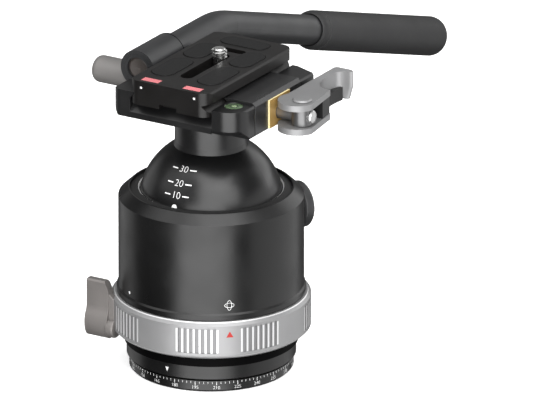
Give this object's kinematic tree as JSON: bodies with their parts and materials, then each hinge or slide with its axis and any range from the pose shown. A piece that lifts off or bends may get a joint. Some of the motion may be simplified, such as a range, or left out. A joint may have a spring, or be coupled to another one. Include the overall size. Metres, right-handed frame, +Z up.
{
  "type": "hybrid ball and fluid head",
  "caption": "Camera support head: lever-locked ball in a round panning housing, with a dovetail clamp, quick plate, cam lever and a bent pan handle.",
  "frame": {"origin": "centre of the tripod thread at the underside of the panning base", "axes": "+Z up along the panning axis, +Y along the plate's slide towards the handle's grip, +X towards the cam lever"},
  "size_m": [0.1079, 0.2727, 0.1362],
  "materials": {
    "black_anodised": "fine blasted black anodised",
    "black_ball": "satin black hard anodised",
    "grey_anodised": "satin silver anodised",
    "lever_grey": "satin titanium grey anodised",
    "cam_silver": "blasted silver",
    "steel": "turned steel",
    "brass": "plain brass",
    "polymer": "black acetal",
    "level": "clear green level",
    "rubber": "matte black rubber",
    "red_tab": "moulded red"
  },
  "bodies": {
    "base": {"pan_base": "black_anodised", "thread_bush": "steel", "pan_spindle": "steel", "base_screws": "steel"},
    "housing": {"turning_cap": "black_anodised", "bearing_washer": "polymer", "housing": "black_anodised", "disc_spring": "steel", "pressure_ring": "brass", "seat_ring": "polymer"},
    "lock": {"lock_ring": "grey_anodised", "lock_lever": "lever_grey"},
    "cup": {"drag_cup": "brass", "guide_pin": "steel"},
    "head": {"ball": "black_ball", "neck": "black_anodised", "neck_bolt": "steel", "clamp_base": "black_anodised", "bubble_level": "level", "guide_rods": "steel", "draw_bar": "steel", "cam_pin": "steel"},
    "jaw": {"moving_jaw": "black_anodised", "thrust_plate": "brass"},
    "lever": {"cam_lever": "cam_silver", "lever_pad": "polymer"},
    "plate": {"quick_plate": "black_anodised", "grip_pads": "rubber", "stop_tabs": "red_tab"},
    "screw_slide": {"screw_washer": "steel"},
    "screw": {"camera_screw": "steel"},
    "bar_clamp": {"bar_clamp": "black_anodised"},
    "bar_lock": {"bar_knob": "lever_grey", "bar_screw": "steel"},
    "handle": {"handle_tube": "black_anodised", "end_plug": "polymer", "handle_grip": "rubber"},
    "drag": {"drag_knob": "black_anodised", "drag_screw": "steel", "drag_tip": "polymer"}
  },
  "joints": [
    {"name": "pan", "type": "hinge", "parent": "base", "child": "housing", "pos_m": [0, 0, 0], "axis": [0, 0, 1], "continuous": true},
    {"name": "lock_turn", "type": "hinge", "parent": "housing", "child": "lock", "pos_m": [0, 0, 0.025], "axis": [0, 0, 1], "range_deg": [-73, 0]},
    {"name": "lean", "type": "hinge", "parent": "housing", "child": "cup", "pos_m": [0, 0, 0.0708], "axis": [0, 1, 0], "range_deg": [-22, 22]},
    {"name": "tilt", "type": "hinge", "parent": "cup", "child": "head", "pos_m": [0, 0, 0.0708], "axis": [1, 0, 0], "range_deg": [-40, 40]},
    {"name": "drag_turn", "type": "hinge", "parent": "housing", "child": "drag", "pos_m": [0, 0, 0.0623], "axis": [0.4848, 0.8746, 0], "range_deg": [-180, 180]},
    {"name": "cam_open", "type": "hinge", "parent": "head", "child": "lever", "pos_m": [0.0437, 0, 0.11708], "axis": [0, 0, 1], "range_deg": [-100, 0]},
    {"name": "jaw_slide", "type": "slide", "parent": "head", "child": "jaw", "axis": [1, 0, 0], "range_m": [0, 0.0015]},
    {"name": "plate_slide", "type": "slide", "parent": "head", "child": "plate", "axis": [0, 1, 0], "range_m": [-0.012, 0.012]},
    {"name": "screw_slide", "type": "slide", "parent": "plate", "child": "screw_slide", "axis": [0, 1, 0], "range_m": [-0.0244, 0.0016]},
    {"name": "screw_turn", "type": "hinge", "parent": "screw_slide", "child": "screw", "pos_m": [0, 0.0066, 0.128], "axis": [0, 0, 1], "continuous": true},
    {"name": "handle_swing", "type": "hinge", "parent": "head", "child": "bar_clamp", "pos_m": [-0.0305, 0.0045, 0.1174], "axis": [1, 0, 0], "range_deg": [-30, 30]},
    {"name": "knob_turn", "type": "hinge", "parent": "bar_clamp", "child": "bar_lock", "pos_m": [-0.045, 0.0045, 0.1174], "axis": [1, 0, 0], "range_deg": [-180, 180]},
    {"name": "bar_roll", "type": "hinge", "parent": "bar_clamp", "child": "handle", "pos_m": [-0.0305, 0, 0.1257], "axis": [0, 1, 0], "range_deg": [-90, 90]}
  ],
  "couplings": [
    {"joint": "cam_open", "follows": "jaw_slide", "rad_per_m": -1163.5}
  ]
}
